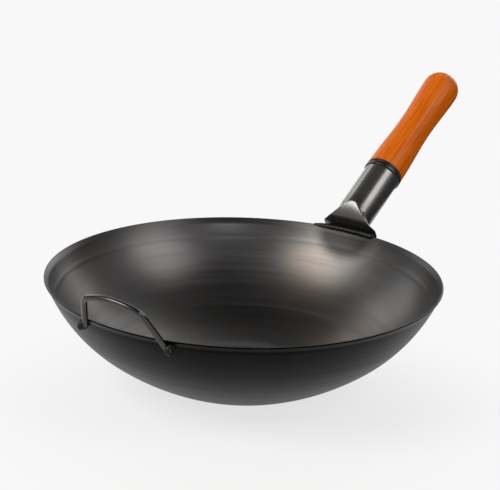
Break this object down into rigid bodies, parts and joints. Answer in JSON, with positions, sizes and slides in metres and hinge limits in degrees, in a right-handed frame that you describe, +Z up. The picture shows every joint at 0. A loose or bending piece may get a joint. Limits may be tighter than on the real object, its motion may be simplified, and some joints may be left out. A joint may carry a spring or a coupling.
{
  "type": "wok",
  "caption": "Flat-based carbon steel wok with a deep flared bowl, a welded tube socket, a screwed-in wooden grip and a welded wire loop opposite.",
  "frame": {"origin": "middle of the flat base's underside", "axes": "+Z up through the bowl's axis, +X towards the long handle, +Y to its left as seen from the bowl"},
  "size_m": [0.5621, 0.3593, 0.2247],
  "materials": {
    "blued_steel": "blued carbon steel sheet, satin",
    "socket_steel": "blackened steel tube, polished",
    "weld_metal": "blackened weld, lumpy",
    "thread_steel": "zinc-plated steel",
    "collar_black": "black, semi-gloss",
    "lacquered_wood": "orange-brown lacquer, glossy"
  },
  "bodies": {
    "wok": {"bowl": "blued_steel", "handle_socket": "socket_steel", "socket_weld": "weld_metal", "nut_disc": "socket_steel", "disc_weld": "weld_metal", "socket_nut": "thread_steel", "nut_weld": "weld_metal", "loop_handle": "blued_steel", "loop_welds": "weld_metal"},
    "collar": {"collar": "collar_black"},
    "grip": {"grip": "lacquered_wood", "hanger_bolt": "thread_steel"}
  },
  "joints": [
    {"name": "collar_slide", "type": "slide", "parent": "wok", "child": "collar", "axis": [0.8499, 0, 0.527], "range_m": [0, 0.0106]},
    {"name": "grip_unscrew", "type": "hinge", "parent": "collar", "child": "grip", "pos_m": [0.18, 0, 0.104], "axis": [0.8499, 0, 0.527], "range_deg": [0, 2520]}
  ],
  "couplings": [
    {"joint": "collar_slide", "follows": "grip_unscrew", "m_per_rad": 0.00023873}
  ]
}
